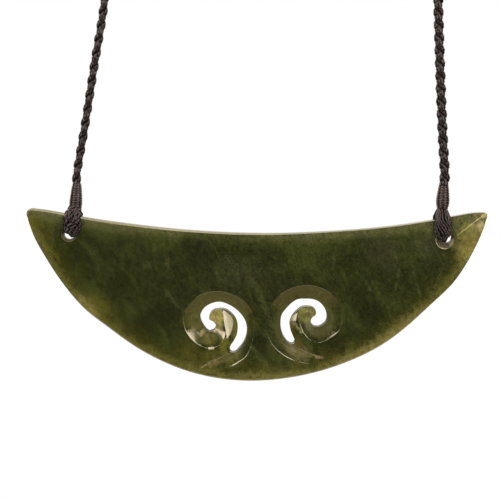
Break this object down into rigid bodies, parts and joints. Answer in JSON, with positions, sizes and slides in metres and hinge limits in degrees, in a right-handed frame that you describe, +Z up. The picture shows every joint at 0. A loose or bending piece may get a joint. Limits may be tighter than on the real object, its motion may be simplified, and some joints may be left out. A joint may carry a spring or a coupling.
{
  "type": "koru breastplate necklace",
  "caption": "Crescent stone breastplate with pierced koru spirals, hung from a plaited cord loop worn round the neck.",
  "frame": {"origin": "on the nape of the wearer's neck, where the inner side of the cord rests", "axes": "+Z up, +X to the viewer's right, and the breastplate's carved face looks along -Y"},
  "size_m": [0.12, 0.1368, 0.2353],
  "materials": {
    "greenstone": "dark mottled green nephrite, satin to polished, with ground hollows",
    "waxed_plait": "waxed black-brown cord, plaited from four strands",
    "waxed_thread": "fine waxed black-brown thread, lightly shining"
  },
  "bodies": {
    "root": {"breastplate": "greenstone", "plaited_cord_left": "waxed_plait", "plaited_cord_right": "waxed_plait", "whipping_left": "waxed_thread", "whipping_right": "waxed_thread", "thread_loop_left": "waxed_thread", "thread_loop_right": "waxed_thread"}
  },
  "joints": []
}
